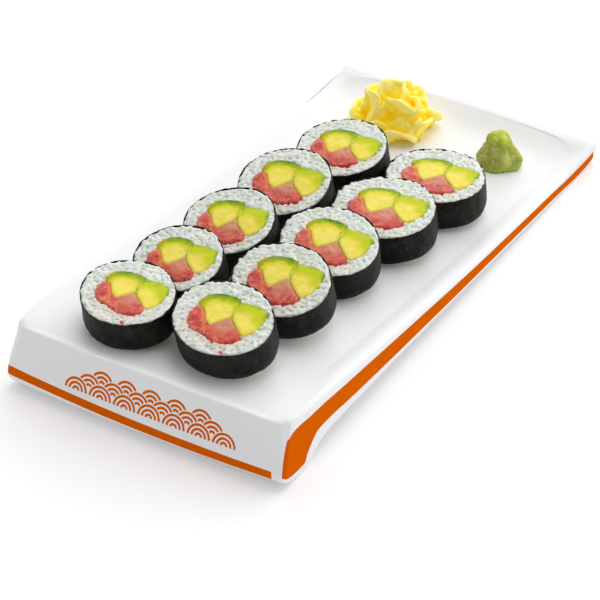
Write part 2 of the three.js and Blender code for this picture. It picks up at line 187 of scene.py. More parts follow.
# Reach and height, as shares of the radius and the height.
WASABI_PROFILE = [
    (0, -0.02), (0.92, -0.02), (0.98, 0.08), (1, 0.22), (0.95, 0.36), (0.84, 0.47), (0.7, 0.57), (0.6, 0.67),
    (0.54, 0.8), (0.42, 0.93), (0, 1.01),
]

ROOM_LIGHT = 0.5  # the white room's light from all sides
GLOW = 1.8  # and its glow behind the plate
GLOW_DIRECTION = (0.05, 0.93, 0.36)

# Places in metres; the lens and the sensor in millimetres.
CAMERA_PLACE = (0.5937, -1.0098, 0.8423)
CAMERA_TARGET = (0.0173, -0.0467, 0.015)
CAMERA_LENS = 174.3
CAMERA_SENSOR = 36


# ---------------------------------------------------------------- shapes shared by the pieces
def smoothstep(x, low, high):
    t = np.clip((np.asarray(x, float) - low) / (high - low), 0, 1)
    return t * t * (3 - 2 * t)


def rim_height(along):
    """Height of the plate's rim at a place along it, counted from the crest."""
    share = (along - 5) / (BACK_START - 5)
    drop = FRONT_DROP * (1 - smoothstep(along, -6, 26))
    return CREST_HEIGHT + (BACK_HEIGHT - CREST_HEIGHT) * share - 4 * RIM_SAG * share * (1 - share) - drop


def inside_height(y):
    """Height of the plate's inside at a place along it."""
    along = np.asarray(y, float) - CREST_Y
    depth = DISH_DEPTH * smoothstep(along, 4, 22)
    depth = depth + (LIP_DISH_DEPTH - DISH_DEPTH) * smoothstep(along, BACK_START - 12, LIP_FOOT)
    return rim_height(along) - depth * (1 - smoothstep(along, LIP_FOOT, LIP_CREST))


def outline_radius(name, angle):
    """Radius of a slice's slightly oval outline in a direction."""
    _, _, diameter, oval, _, _ = SLICES[name]
    turned = np.asarray(angle, float) - OVAL_ANGLE
    return diameter / 2 * (1 + oval * np.cos(2 * turned) + CORNER_BUMP * np.cos(4 * turned))


def edge_room(name, points):
    """How far inside a slice's outline each point lies."""
    angle = np.arctan2(points[:, 1], points[:, 0])
    return outline_radius(name, angle) - np.hypot(points[:, 0], points[:, 1])


def slice_matrix(name):
    """The place of a slice, from its own flat frame into the shared one, both in millimetres."""
    x, y, _, _, lean, side = SLICES[name]
    turn = Matrix.Rotation(math.radians(side), 4, "Y") @ Matrix.Rotation(math.radians(lean), 4, "X")
    seat = -math.inf
    for angle in np.linspace(0, 2 * math.pi, 28, endpoint=False):
        radius = float(outline_radius(name, angle))
        rim = turn @ Vector((radius * math.cos(angle), radius * math.sin(angle), 0))
        seat = max(seat, float(inside_height(y + rim.y)) + SEAT_GAP - rim.z)
    return Matrix.Translation((x, y, seat)) @ turn


def edge_distance(points, line, closed=False):
    """Distance of each point (rows of x, y) from a line of corners."""
    corners = np.array(line, float)
    starts = corners if closed else corners[:-1]
    ends = np.roll(corners, -1, axis=0) if closed else corners[1:]
    best = np.full(len(points), np.inf)
    for start, end in zip(starts, ends):
        run = end - start
        share = np.clip((points - start) @ run / (run @ run), 0, 1)
        best = np.minimum(best, np.linalg.norm(points - start - share[:, None] * run, axis=1))
    return best


def inside_outline(points, outline):
    """Whether each point lies inside a closed outline."""
    corners = np.array(outline, float)
    inside = np.zeros(len(points), bool)
    for start, end in zip(corners, np.roll(corners, -1, axis=0)):
        crosses = (start[1] > points[:, 1]) != (end[1] > points[:, 1])
        height = np.where(end[1] == start[1], 1, end[1] - start[1])
        reach = start[0] + (points[:, 1] - start[1]) * (end[0] - start[0]) / height
        inside ^= crosses & (points[:, 0] < reach)
    return inside


# ---------------------------------------------------------------- finishes
def srgb(red, green, blue):
    """A colour from its screen values of 0 to 255."""
    def linear(value):
        share = value / 255
        return share / 12.92 if share <= 0.04045 else ((share + 0.055) / 1.055) ** 2.4

    return (linear(red), linear(green), linear(blue), 1)


class Value:
    """An output of a node tree that takes part in arithmetic."""

    def __init__(self, nodes, socket):
        self.nodes = nodes
        self.socket = socket

    def math(self, operation, *inputs):
        return self.nodes.add("ShaderNodeMath", {"operation": operation}, inputs)

    def fraction(self):
        return self.math("FRACT", self)

    def larger(self, other):
        return self.math("MAXIMUM", self, other)

    def __abs__(self):
        return self.math("ABSOLUTE", self)

    def __add__(self, other):
        return self.math("ADD", self, other)

    __radd__ = __add__

    def __sub__(self, other):
        return self.math("SUBTRACT", self, other)

    def __rsub__(self, other):
        return self.math("SUBTRACT", other, self)

    def __mul__(self, other):
        return self.math("MULTIPLY", self, other)

    __rmul__ = __mul__

    def __truediv__(self, other):
        return self.math("DIVIDE", self, other)

    def __pow__(self, other):
        return self.math("POWER", self, other)

    def __gt__(self, other):
        return self.math("GREATER_THAN", self, other)

    def __lt__(self, other):
        return self.math("LESS_THAN", self, other)

    def ramp(self, low, high):
        """0 up to low, 1 from high, and smooth between them."""
        inputs = {"Value": self, "From Min": low, "From Max": high}
        return self.nodes.add("ShaderNodeMapRange", {"interpolation_type": "SMOOTHSTEP"}, inputs)


class Nodes:
    """A node tree that is built up from values."""

    def __init__(self, tree):
        self.tree = tree

    def put(self, node, key, value):
        if isinstance(value, Value):
            self.tree.links.new(value.socket, node.inputs[key])
        else:
            node.inputs[key].default_value = value

    def add(self, kind, settings=(), inputs=(), output=0):
        """Adds a node: its settings first, then the values or links of its sockets. Gives one output."""
        node = self.tree.nodes.new(kind)
        for name, value in dict(settings).items():
            if name == "curve":
                points = node.mapping.curves[0].points
                points[0].location = value[0]
                points[1].location = value[-1]
                for place in value[1:-1]:
                    points.new(*place)
                node.mapping.update()
            else:
                setattr(node, name, value)
        pairs = inputs.items() if isinstance(inputs, dict) else enumerate(inputs)
        for key, value in pairs:
            self.put(node, key, value)
        return Value(self, node.outputs[output])


class Finish(Nodes):
    """A material built from nodes around one Principled shader."""

    def __init__(self, name, **sockets):
        self.material = bpy.data.materials.new(name)
        self.material.use_nodes = True
        super().__init__(self.material.node_tree)
        self.shader = self.tree.nodes["Principled BSDF"]
        self.set(**sockets)

    def set(self, **sockets):
        for name, value in sockets.items():
            self.put(self.shader, name.replace("_", " "), value)

    def place(self):
        """Object coordinates in millimetres, and their three numbers."""
        metres = self.add("ShaderNodeTexCoord", output="Object")
        place = self.add("ShaderNodeVectorMath", {"operation": "SCALE"}, {"Vector": metres, "Scale": 1000.0})
        return place, [self.add("ShaderNodeSeparateXYZ", inputs=[place], output=i) for i in range(3)]

    def noise(self, place, size, detail=3.0, roughness=0.55, distortion=0.0):
        """Noise from 0 to 1 whose lumps are about that many millimetres across."""
        inputs = {"Vector": place, "Scale": 1 / size, "Detail": detail, "Roughness": roughness,
                  "Distortion": distortion}
        return self.add("ShaderNodeTexNoise", inputs=inputs)

    def stretch(self, place, x, y, z):
        """A place whose noise has lumps this many times finer along each axis."""
        return self.add("ShaderNodeVectorMath", {"operation": "MULTIPLY"}, {0: place, 1: (x, y, z)})

    def mix(self, share, first, second):
        """A colour between two, by a share."""
        return self.add("ShaderNodeMix", {"data_type": "RGBA"}, {0: share, 6: first, 7: second}, output=2)

    def attribute(self, name):
        return self.add("ShaderNodeAttribute", {"attribute_name": name}, output="Fac")

    def cover(self, share, **sockets):
        """Lays a second Principled shader over the first by a share."""
        layer = self.tree.nodes.new("ShaderNodeBsdfPrincipled")
        for name, value in sockets.items():
            self.put(layer, name.replace("_", " "), value)
        shaders = {0: share, 1: Value(self, self.shader.outputs[0]), 2: Value(self, layer.outputs[0])}
        covered = self.add("ShaderNodeMixShader", inputs=shaders)
        self.tree.links.new(covered.socket, self.tree.nodes["Material Output"].inputs["Surface"])

    def bump(self, height, distance, strength):
        """Relief of a height from 0 to 1 that stands for a distance in millimetres."""
        inputs = {"Strength": strength, "Distance": distance * 0.001, "Height": height}
        self.set(Normal=self.add("ShaderNodeBump", inputs=inputs))


def porcelain_finish():
    """White glaze with painted orange: a band on each long side, a stripe and rows of wave fans in front."""
    glaze = Finish("glazed_porcelain", Specular_IOR_Level=0.3, Coat_Weight=0.05, Coat_Roughness=0.25)
    place, (x, y, z) = glaze.place()
    along = y - CREST_Y

    def band_edge(line):
        curve = [((a - BAND_START) / BAND_LENGTH, up / BAND_HEIGHT) for a, up in line]
        position = (along - BAND_START) / BAND_LENGTH
        return glaze.add("ShaderNodeFloatCurve", {"curve": curve}, {"Value": position}) * BAND_HEIGHT

    # The side band follows the rounded right front corner and ends before the left one.
    rounded = z.ramp(8, 32) * (1 - along.ramp(-8, 6)) * CORNER_RADIUS * 0.2
    flank = (abs(x) > PLATE_HALF_WIDTH - 1.2 - rounded) * (x > 0).larger(along > 5)
    top_edge = band_edge(BAND_TOP_LINE) - (x < 0) * along.ramp(225, 270) * LEFT_BAND_DROP
    side_band = flank * (z < top_edge) * (z > band_edge(BAND_FOOT_LINE)) * (along < BAND_END)

    # The front stripe and the fans lie on the front face, measured across and up.
    front = along < 2
    bow = (x * x) / PLATE_HALF_WIDTH**2
    middle = STRIPE_HEIGHT + STRIPE_RISE * bow + STRIPE_SLANT * x
    stripe = (abs(z - middle) < STRIPE_HALF_WIDTH) * (x > STRIPE_SPAN[0]) * (x < STRIPE_SPAN[1])

    # Each row of fans stands behind the one below it, half a fan to the side.
    fans = 0.0
    bare = 1.0
    for count, base in FAN_ROWS:
        start = FAN_MIDDLE - count * FAN_RADIUS
        end = FAN_MIDDLE + count * FAN_RADIUS
        across = (((x - start) / (2 * FAN_RADIUS)).fraction() - 0.5) * (2 * FAN_RADIUS)
        up = z - base
        reach = (across * across + up * up) ** 0.5
        within = (reach < FAN_RADIUS) * (x > start) * (x < end) * (up > 0)
        ink = ((reach / FAN_RADIUS * FAN_RINGS).fraction() > FAN_GAP) * within
        fans = ink * bare + fans
        bare = (1 - within) * bare

    paint = side_band.larger(stripe.larger(fans) * front)
    cloud = glaze.noise(place, 60, 2.0)
    white = glaze.mix(cloud, srgb(241, 241, 241), srgb(236, 237, 239))
    # Painted highlight: the glaze is painted pure white along the front crest, for the bright line of light
    # there.
    crest = z.ramp(CREST_CORNER[1] - 1.2, CREST_CORNER[1] - 0.4) * (1 - along.ramp(-2.5, 1.5))
    glaze.set(Base_Color=glaze.mix(crest, white, srgb(255, 255, 255)))
    glaze.set(Roughness=0.34 + 0.08 * glaze.noise(place, 25, 3.0))
    glaze.bump(glaze.noise(place, 30, 1.0), 0.25, 0.35)
    brushed = glaze.noise(place, 9, 4.0)
    orange = glaze.mix(brushed.ramp(0.35, 0.75), srgb(214, 94, 2), srgb(219, 99, 4))
    glaze.cover(paint, Base_Color=orange, Roughness=0.3, Specular_IOR_Level=0.0)
    return glaze


def nori_finish():
    """Dry seaweed: nearly black, with cloudy patches and fine upright fibres of a dull olive grey, partly
    painted sheen.
    """
    nori = Finish("dried_nori", Specular_IOR_Level=0.14, Sheen_Weight=0.03, Sheen_Roughness=0.3)
    place, _ = nori.place()
    cloud = nori.noise(place, 9, 5.0, 0.65, 0.6)
    fibres = nori.noise(nori.stretch(place, 1, 1, 0.5), 1.3, 4.0, 0.65, 1.5)
    # The lighter cloudy patches and the pale fibres are partly the seaweed's own tone and partly a painted,
    # mottled sheen.
    dark = nori.mix(cloud.ramp(0.38, 0.66), srgb(0, 0, 0), srgb(30, 30, 24))
    pale = fibres.ramp(0.5, 0.72) * cloud.ramp(0.35, 0.65) * 0.8
    nori.set(Base_Color=nori.mix(pale, dark, srgb(66, 64, 55)))
    nori.set(Roughness=0.3 + 0.4 * cloud)
    nori.bump(fibres * 0.7 + cloud * 1.4, 0.9, 1.0)
    return nori


def rice_finish():
    """Moist rice: each grain has its own tone, from milky white to a glassy grey green."""
    rice = Finish("sushi_rice", Subsurface_Weight=0.8, Subsurface_Scale=0.002, Specular_IOR_Level=0.15)
    rice.set(Subsurface_Radius=(1.0, 1.0, 0.85))
    place, _ = rice.place()
    tone = rice.attribute("tone")
    blush = rice.attribute("blush")
    speck = rice.noise(place, 1.3, 2.0)
    tint = rice.noise(place, 5, 3.0)
    grain = rice.mix(tone.ramp(0.3, 1), srgb(230, 233, 226), srgb(206, 213, 203))
    grain = rice.mix((0.25 - tone).ramp(0, 0.2) * 0.7, grain, srgb(204, 210, 214))
    grain = rice.mix(speck.ramp(0.5, 0.8) * 0.4, grain, srgb(240, 241, 235))
    grain = rice.mix(tint.ramp(0.5, 0.66) * 0.4, grain, srgb(206, 219, 180))
    rice.set(Base_Color=rice.mix(blush, grain, srgb(232, 196, 186)))
    rice.set(Roughness=0.4 + 0.2 * speck)
    rice.bump(speck, 0.08, 0.3)
    return rice


def tuna_finish():
    """Raw tuna: red with paler, slanting muscle seams and a milky top."""
    tuna = Finish("raw_tuna", Subsurface_Weight=0.3, Subsurface_Scale=0.0015, Specular_IOR_Level=0.35)
    tuna.set(Subsurface_Radius=(1.0, 0.35, 0.3))
    place, _ = tuna.place()
    pale = tuna.attribute("pale")
    fringe = tuna.attribute("fringe")
    patches = tuna.noise(place, 5, 4.0, 0.6)
    slanted = tuna.stretch(place, 1.0, 0.35, 0.5)
    seams = tuna.noise(slanted, 1.6, 3.0, 0.6, 1.2)
    mottle = tuna.noise(place, 2.4, 3.0, 0.6)
    flesh = tuna.mix(patches.ramp(0.35, 0.7), srgb(190, 38, 42), srgb(214, 86, 60))
    flesh = tuna.mix(mottle.ramp(0.45, 0.7) * 0.6, flesh, srgb(222, 108, 80))
    flesh = tuna.mix(seams.ramp(0.52, 0.7) * 0.6, flesh, srgb(232, 150, 126))
    flesh = tuna.mix(pale * (0.45 + patches * 0.9), flesh, srgb(208, 142, 108))
    flesh = tuna.mix(tuna.attribute("edge") * mottle.ramp(0.35, 0.75) * 0.7, flesh, srgb(236, 158, 140))
    flesh = tuna.mix(fringe * (0.5 + mottle), flesh, srgb(218, 122, 48))
    tuna.set(Base_Color=flesh)
    tuna.set(Roughness=0.28 + 0.25 * patches)
    tuna.bump(seams * 0.6 + patches * 0.5, 0.5, 0.7)
    return tuna


def avocado_finish():
    """Avocado: dark green at the skin, bright green next to it, then yellow flesh, and a thin dark seam."""
    avocado = Finish("avocado_flesh", Subsurface_Weight=0.2, Subsurface_Scale=0.001, Specular_IOR_Level=0.12)
    avocado.set(Subsurface_Radius=(0.9, 1.0, 0.3))
    place, _ = avocado.place()
    patches = avocado.noise(place, 4, 4.0, 0.55)
    streaks = avocado.noise(avocado.stretch(place, 0.5, 1.4, 1), 2.2, 3.0, 0.6)
    depth = avocado.attribute("skin") + (patches - 0.5) * 3.4 + (streaks - 0.5) * 2.4
    wedge = avocado.attribute("wedge")
    seam = avocado.attribute("seam") + (streaks - 0.5) * 0.3
    olive = avocado.attribute("olive")
    bright = avocado.mix(wedge, srgb(140, 170, 0), srgb(194, 206, 30))
    bright = avocado.mix(olive, bright, srgb(184, 168, 12))
    dark = avocado.mix(wedge, srgb(70, 116, 0), srgb(152, 176, 12))
    flesh = avocado.mix(patches.ramp(0.35, 0.7), srgb(245, 229, 108), srgb(240, 220, 76))
    flesh = avocado.mix(depth.ramp(4.0, 7.0 + wedge * 2.0), srgb(218, 212, 40), flesh)
    flesh = avocado.mix(depth.ramp(2.0, 4.4 + wedge * 2.2), bright, flesh)
    flesh = avocado.mix(depth.ramp(0.2, 1.7), avocado.mix(olive, dark, bright), flesh)
    flesh = avocado.mix(seam.ramp(0.2, 2.4), avocado.mix(0.4, flesh, srgb(184, 196, 34)), flesh)
    flesh = avocado.mix(seam.ramp(0.0, 0.5), srgb(128, 138, 14), flesh)
    avocado.set(Base_Color=flesh)
    avocado.set(Roughness=0.35 + 0.2 * patches)
    avocado.bump(avocado.noise(place, 1.6, 4.0), 0.3, 0.5)
    return avocado


def ginger_finish():
    """Pickled ginger: wet, glassy yellow slices, deep yellow inside the heap and paler outside, partly as
    painted light.
    """
    # The slices glow faintly in their own colour: painted light, standing for light that passes through the
    # thin slices.
    ginger = Finish("pickled_ginger", Subsurface_Weight=0.6, Subsurface_Scale=0.005, Emission_Strength=0.13)
    ginger.set(Subsurface_Radius=(1.0, 0.85, 0.3))
    place, _ = ginger.place()
    patches = ginger.noise(place, 7, 3.0)
    # Deep yellow inside the heap and pale outside are partly the slices' own tone and partly painted light:
    # the glow through stacked slices and highlights on the outer ones.
    outer = ginger.attribute("outer") + (patches - 0.5) * 1.2
    fibres = ginger.noise(ginger.stretch(place, 0.3, 1, 1), 1.4, 3.0)
    flesh = ginger.mix(outer.ramp(-0.1, 0.55), srgb(254, 226, 2), srgb(254, 230, 64))
    flesh = ginger.mix(outer.ramp(0.45, 1.1), flesh, srgb(250, 232, 140))
    flesh = ginger.mix(patches.ramp(0.5, 0.72) * 0.7, flesh, srgb(252, 222, 26))
    ginger.set(Base_Color=flesh, Emission_Color=flesh)
    ginger.set(Roughness=0.25 + 0.2 * fibres)
    ginger.bump(fibres, 0.2, 0.5)
    return ginger


def wasabi_finish():
    """Wasabi paste: dull green, brighter around its crumbly foot and, as painted light, on its knob, with a
    fine grain.
    """
    wasabi = Finish("wasabi_paste", Subsurface_Weight=0.15, Subsurface_Scale=0.001, IOR=1.4)
    place, _ = wasabi.place()
    patches = wasabi.noise(place, 6, 4.0)
    grit = wasabi.noise(place, 0.8, 4.0, 0.7)
    # This mark covers the crumbly foot and the knob; on the knob it is a painted light on the mound's top.
    crumbs = wasabi.attribute("crumbs")
    paste = wasabi.mix(patches.ramp(0.35, 0.7), srgb(156, 164, 58), srgb(200, 202, 112))
    paste = wasabi.mix(crumbs * 0.8, paste, srgb(190, 206, 62))
    wasabi.set(Base_Color=wasabi.mix(grit.ramp(0.5, 0.8) * 0.5, paste, srgb(128, 138, 36)))
    wasabi.set(Roughness=0.55 + 0.2 * grit)
    wasabi.bump(grit * 0.5 + patches * 0.6, 0.5, 0.6)
    return wasabi


# ---------------------------------------------------------------- modelling helpers
def select_only(*pieces):
    if bpy.context.object and bpy.context.object.mode != "OBJECT":
        bpy.ops.object.mode_set(mode="OBJECT")
    bpy.ops.object.select_all(action="DESELECT")
    for piece in pieces:
        piece.select_set(True)
    bpy.context.view_layer.objects.active = pieces[0]


def edit(piece, *steps):
    """Runs edit-mode steps on all of a piece."""
    select_only(piece)
    bpy.ops.object.mode_set(mode="EDIT")
    bpy.ops.mesh.select_all(action="SELECT")
    for step in steps:
        step()
    bpy.ops.object.mode_set(mode="OBJECT")


def apply_modifier(piece, kind, **settings):
    select_only(piece)
    modifier = piece.modifiers.new(kind.lower(), kind)
    for name, value in settings.items():
        setattr(modifier, name, value)
    bpy.ops.object.modifier_apply(modifier=modifier.name)


def node_copy(node, name):
    """A merged copy of a frame node, in millimetres."""
    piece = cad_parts[node].copy()
    piece.data = piece.data.copy()
    piece.name = name
    piece.parent = None
    piece.modifiers.clear()
    bpy.context.collection.objects.link(piece)
    piece.data.transform(TO_MM)
    edit(piece, lambda: bpy.ops.mesh.remove_doubles(threshold=0.01))
    return piece


def mesh_piece(name, corners, faces=(), edges=()):
    mesh = bpy.data.meshes.new(name)
    mesh.from_pydata([tuple(c) for c in corners], list(edges), [tuple(f) for f in faces])
    piece = bpy.data.objects.new(name, mesh)
    bpy.context.collection.objects.link(piece)
    return piece


def corners_of(piece):
    flat = np.empty(len(piece.data.vertices) * 3)
    piece.data.vertices.foreach_get("co", flat)
    return flat.reshape(-1, 3)


def set_corners(piece, corners):
    piece.data.vertices.foreach_set("co", np.asarray(corners, float).ravel())
    piece.data.update()


def lumps(points, size, seed):
    """Smooth noise of about -1 to 1 at each point, with lumps of that size."""
    shift = Vector((seed * 17.3, seed * 5.1, seed * 9.7))
    return np.array([noise.noise(Vector(p) / size + shift) for p in points])


def store(piece, name, values):
    attribute = piece.data.attributes.new(name, "FLOAT", "POINT")
    attribute.data.foreach_set("value", np.asarray(values, float))


def join(name, pieces):
    select_only(*pieces)
    bpy.ops.object.join()
    piece = bpy.context.object
    piece.name = name
    return piece


def complete(piece, finish, slot, *nodes):
    """Gives a shaped piece its finish, its smooth shading and its place in the frame."""
    piece.data.materials.clear()
    piece.data.materials.append(finish.material)
    select_only(piece)
    bpy.ops.object.shade_smooth_by_angle(angle=math.radians(50))
    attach(piece, "root")
    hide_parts(*nodes)


# ---------------------------------------------------------------- the plate
def soften(piece, shares):
    """Smooths a piece, each of its corners by its own share, rounded to quarters."""
    steps = 4
    group = piece.vertex_groups.new(name="soft")
    for level in range(1, steps + 1):
        chosen = np.flatnonzero(np.round(shares * steps) == level)
        group.add(chosen.tolist(), level / steps, "REPLACE")
    apply_modifier(piece, "SMOOTH", factor=0.8, iterations=40, vertex_group="soft")
    piece.vertex_groups.clear()


def make_plate(finish):
    """The plate: the frame's solid, finer, with soft corners, and slightly swollen halfway across."""
    plate = node_copy("plate", "glazed_plate")
    edit(
        plate,
        lambda: bpy.ops.mesh.dissolve_limited(angle_limit=math.radians(0.2)),
        lambda: bpy.ops.mesh.tris_convert_to_quads(),
    )
    apply_modifier(plate, "SUBSURF", levels=2, render_levels=2)

    # The inside gets smooth at both ends of the slope, and so do the rounded front corners.
    x, y, z = corners_of(plate).T
    along = y - CREST_Y
    off_side = PLATE_HALF_WIDTH - np.abs(x)
    ends = np.maximum(smoothstep(along, 270, LIP_FOOT), 1 - smoothstep(along, 30, 40))
    inside = ends * smoothstep(off_side, 3, 5) * smoothstep(z, 5, 8)
    front_corner = 1 - smoothstep(off_side, CORNER_RADIUS, CORNER_RADIUS + 4)
    front_corner *= (1 - smoothstep(along, 6, 14)) * smoothstep(z, 14, 22)
    soften(plate, np.maximum(inside, front_corner))

    # The front's top edge gets crisp, but not around those corners.
    corners = corners_of(plate)
    along = corners[:, 1] - CREST_Y
    off_side = PLATE_HALF_WIDTH - np.abs(corners[:, 0])
    off_crest = np.array(CREST_CORNER) - np.c_[along, corners[:, 2]]
    pull = CREST_PULL * (1 - smoothstep(np.hypot(*off_crest.T), 0, CREST_REACH))
    pull *= smoothstep(off_side, 5, CORNER_RADIUS + 4)
    corners[:, 1:] += off_crest * pull[:, None]

    # The front face and the lip swell halfway across, and the lip dips near its ends.
    across = 1 - (corners[:, 0] / PLATE_HALF_WIDTH) ** 2
    low = 1 - smoothstep(corners[:, 2], 6, CREST_HEIGHT - 4)
    corners[:, 1] -= FRONT_BULGE * across * (1 - smoothstep(along, -4, 4)) * low
    swell = across * smoothstep(along, LIP_FOOT - 4, LIP_CREST) * smoothstep(corners[:, 2], 4, 9)
    corners[:, 2] += LIP_SWELL * swell
    dip = smoothstep(off_side, 2.5, 5.5) * (1 - smoothstep(off_side, 7.5, 15.5))
    dip *= smoothstep(along, 270, 294) * (1 - smoothstep(along, 294, LIP_CREST - 1))
    corners[:, 2] -= LIP_END_DIP * dip * smoothstep(corners[:, 2], 4.5, 6)
    set_corners(plate, corners)
    plate.data.transform(TO_METRES)
    complete(plate, finish, "porcelain", "plate")


# ---------------------------------------------------------------- the slices
def clear_of_neighbours(name, points, margin):
    """Moves points of a slice, in its own frame, inwards until they are clear of the slices before it."""
    far = 60
    tries = 14
    shrink = 0.988
    order = list(SLICES)
    here = slice_matrix(name)
    for other in order[: order.index(name)]:
        if math.dist(SLICES[other][:2], SLICES[name][:2]) > far:
            continue
        across = np.array(slice_matrix(other).inverted() @ here)
        for _ in range(tries):
            seen = points @ across[:3, :3].T + across[:3, 3]
            level = (seen[:, 2] > -margin) & (seen[:, 2] < SLICE_HEIGHT + 1)
            caught = level & (edge_room(other, seen) > -margin)
            if not caught.any():
                break
            points[caught, :2] *= shrink
    return points


def make_nori(name, finish, seed):
    """The seaweed band: a thin ring whose edge wavers and whose wall is faintly wrinkled."""
    rows = 16
    bpy.ops.mesh.primitive_circle_add(vertices=144, radius=1)
    nori = bpy.context.object
    nori.name = "nori_" + name
    rise = {"value": (0, 0, SLICE_HEIGHT / rows)}
    steps = [lambda: bpy.ops.mesh.extrude_region_move(TRANSFORM_OT_translate=rise)] * rows
    edit(
        nori,
        *steps,
        lambda: bpy.ops.mesh.select_all(action="SELECT"),
        lambda: bpy.ops.mesh.normals_make_consistent(inside=False),
    )
    corners = corners_of(nori)
    out = corners[:, :2].copy()
    corners[:, :2] *= outline_radius(name, np.arctan2(corners[:, 1], corners[:, 0]))[:, None]
    wrinkle = 0.18 * lumps(corners * (1, 1, 0.3), 2.2, seed)
    wrinkle += 0.4 * lumps(corners * (1, 1, 0.6), 8, seed + 50)
    foot = 0.7 * (1 - smoothstep(corners[:, 2], 0, 2.5))
    corners[:, :2] += out * (wrinkle - foot)[:, None]
    flat = corners * (1, 1, 0)
    edge = 0.4 * lumps(flat, 5, seed + 90) + 0.4 * lumps(flat, 1.8, seed + 91) - 0.38
    corners[:, 2] += edge * smoothstep(corners[:, 2], SLICE_HEIGHT - 3, SLICE_HEIGHT)
    set_corners(nori, clear_of_neighbours(name, corners, 0.3))
    apply_modifier(nori, "SOLIDIFY", thickness=NORI_THICKNESS, offset=-1)
    nori.data.transform(TO_METRES @ slice_matrix(name))
    complete(nori, finish, "nori", name + "_nori")


def grain_shape():
    """One grain of rice along X, a little bent and thinner at one end."""
    bpy.ops.mesh.primitive_uv_sphere_add(segments=8, ring_count=5, radius=0.5)
    grain = bpy.context.object
    corners = corners_of(grain)[:, [2, 0, 1]]
    taper = 1 - 0.35 * (corners[:, 0] + 0.5) ** 2
    corners[:, 1:] *= taper[:, None]
    corners *= (GRAIN_LENGTH, GRAIN_WIDTH, GRAIN_WIDTH * 0.9)
    corners[:, 1] += 0.05 * corners[:, 0] ** 2
    faces = [tuple(p.vertices) for p in grain.data.polygons]
    bpy.data.objects.remove(grain)
    return corners, faces


def grain_places(name, random):
    """Where grains lie on a cut face: scattered, none too close to another, clear of the fillings."""
    radius = SLICES[name][2] / 2
    tries = random.uniform(-radius * 1.12, radius * 1.12, (GRAIN_TRIES, 2))
    keep = edge_room(name, tries) > NORI_THICKNESS + GRAIN_OFF_NORI
    for outline in FILLING_OUTLINES.values():
        corners = np.array(outline) * radius
        keep &= ~inside_outline(tries, corners)
        keep &= edge_distance(tries, corners, closed=True) > GRAIN_OFF_FILLING
    places = []
    for place in tries[keep]:
        if not places or np.min(np.hypot(*(np.array(places) - place).T)) > GRAIN_SPACING:
            places.append(place)
    return np.array(places)


def make_rice_core(name):
    """The frame's solid cut down to a core that reaches the seaweed, in the slice's own frame."""
    core = node_copy(name + "_rice", "rice_core_" + name)
    core.data.transform(slice_matrix(name).inverted())
    cut = {"plane_co": (0, 0, RICE_CORE_TOP), "plane_no": (0, 0, 1), "use_fill": True, "clear_outer": True}
    edit(core, lambda: bpy.ops.mesh.bisect(**cut))
    corners = corners_of(core)
    out = corners[:, :2] / np.hypot(corners[:, 0], corners[:, 1])[:, None]
    wall = (edge_room(name, corners) < 2) & (corners[:, 2] > 3)
    corners[:, :2] += out * np.where(wall, 0.8, 0)[:, None]
    set_corners(core, clear_of_neighbours(name, corners, 1))
    return core


def make_grains(name, grain, places, random, seed):
    """The grains of a cut face as one mesh, and each one's tone."""
    shape, faces = grain
    bodies = []
    tones = []
    for (x, y), room in zip(places, edge_room(name, places)):
        turn = random.uniform(0, math.pi)
        if room < 3:
            turn = math.atan2(y, x) + math.pi / 2 + random.normal(0, 0.45)
        spin = Euler((random.uniform(0, 6), random.normal(0, 0.22), turn)).to_matrix()
        size = random.uniform(0.8, 1.12)
        height = CUT_FACE - GRAIN_SINK + random.uniform(-0.4, 0.1)
        bodies.append(shape * size @ np.array(spin).T + (x, y, height))
        tones.append(random.random())
    corners = np.concatenate(bodies)
    corners[:, 2] = np.minimum(corners[:, 2], CUT_FACE + 0.12 * lumps(corners, 3, seed))
    reach = np.hypot(corners[:, 0], corners[:, 1])
    limit = reach + edge_room(name, corners) - 0.3
    corners[:, :2] *= np.minimum(1, limit / reach)[:, None]
    corners = clear_of_neighbours(name, corners, 1.1)
    all_faces = [tuple(v + i * len(shape) for v in face) for i in range(len(places)) for face in faces]
    return mesh_piece("rice_grains_" + name, corners, all_faces), tones


def make_rice(name, finish, grain, seed):
    """The rice: a core and the grains of its cut face, melted into one soft mesh."""
    random = np.random.default_rng(seed)
    core = make_rice_core(name)
    places = grain_places(name, random)
    grains, tones = make_grains(name, grain, places, random, seed)
    rice = join("rice_" + name, [core, grains])
    apply_modifier(rice, "REMESH", mode="VOXEL", voxel_size=0.42)
    apply_modifier(rice, "SMOOTH", factor=0.5, iterations=2)
    corners = corners_of(rice)
    tree = KDTree(len(places))
    for i, (x, y) in enumerate(places):
        tree.insert((x, y, 0), i)
    tree.balance()
    store(rice, "tone", [tones[tree.find((x, y, 0))[1]] for x, y, _ in corners])
    radius = SLICES[name][2] / 2
    low = -corners[:, 1] / radius
    near_tuna = edge_distance(corners[:, :2], np.array(FILLING_OUTLINES["tuna"]) * radius, closed=True)
    stain = 0.55 * (1 - smoothstep(near_tuna, 0, 4.5)) * smoothstep(low, 0.1, 0.6)
    store(rice, "blush", stain + 0.12 * smoothstep(low, 0.4, 0.8))
    rice.data.transform(TO_METRES @ slice_matrix(name))
    complete(rice, finish, "rice", name + "_rice")


def tuna_scrap(place, seed):
    """A crumb of tuna that was dragged into the rice by the knife."""
    bpy.ops.mesh.primitive_ico_sphere_add(subdivisions=3, radius=1)
    scrap = bpy.context.object
    corners = corners_of(scrap) * TUNA_SCRAP_SIZE
    corners += corners * (0.35 * lumps(corners, 1.2, seed))[:, None]
    set_corners(scrap, corners + (*place, CUT_FACE - 0.5))
    store(scrap, "edge", np.full(len(corners), 0.7))
    return scrap


